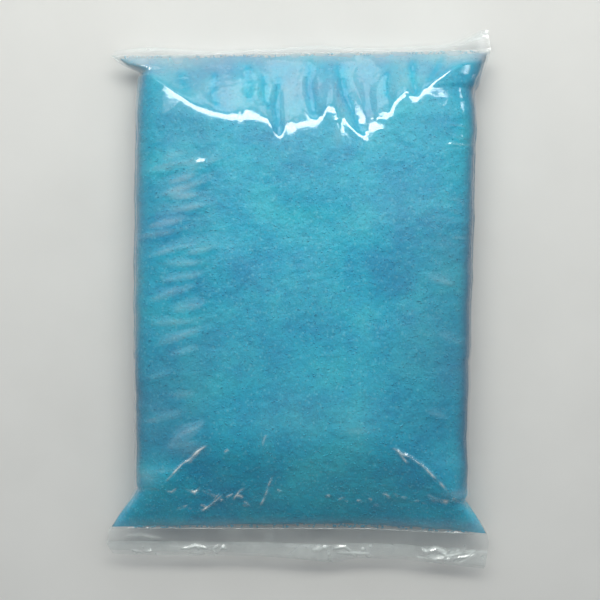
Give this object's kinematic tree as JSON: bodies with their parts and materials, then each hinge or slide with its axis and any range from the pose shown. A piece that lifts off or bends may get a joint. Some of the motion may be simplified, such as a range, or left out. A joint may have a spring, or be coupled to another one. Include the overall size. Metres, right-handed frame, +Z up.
{
  "type": "desiccant granule pack",
  "caption": "Flat pillow pack of clear film, welded at both ends and filled with blue desiccant granules, with a folding fin at each end.",
  "frame": {"origin": "on the bench under the middle of the pack's bounding box", "axes": "+X across the pack, +Y from the bottom fin to the top fin, +Z up from the bench towards the front panel"},
  "size_m": [0.2, 0.273, 0.034],
  "materials": {
    "clear_film": "clear polyethylene film, glossy, slightly hazy",
    "welded_film": "heat-fused clear film, glossy and faintly ribbed",
    "blue_granules": "loose blue silica-gel granules, slightly glassy, about 1 mm"
  },
  "bodies": {
    "pack_body": {"film_front_panel": "clear_film", "film_back_panel": "clear_film", "granule_fill": "blue_granules", "loose_grains": "blue_granules"},
    "bottom_fin": {"bottom_weld_band": "welded_film", "bottom_tail_front_layer": "clear_film", "bottom_tail_back_layer": "clear_film"},
    "top_fin": {"top_weld_band": "welded_film", "top_tail_front_layer": "clear_film", "top_tail_back_layer": "clear_film"}
  },
  "joints": [
    {"name": "bottom_fin_fold", "type": "hinge", "parent": "pack_body", "child": "bottom_fin", "pos_m": [0, -0.11965, 0.013], "axis": [-1, 0, 0], "range_deg": [-42, 120], "stiffness_Nm_per_rad": 0.004},
    {"name": "top_fin_fold", "type": "hinge", "parent": "pack_body", "child": "top_fin", "pos_m": [0, 0.13035, 0.013], "axis": [1, 0, 0], "range_deg": [-30, 140], "stiffness_Nm_per_rad": 0.004}
  ]
}
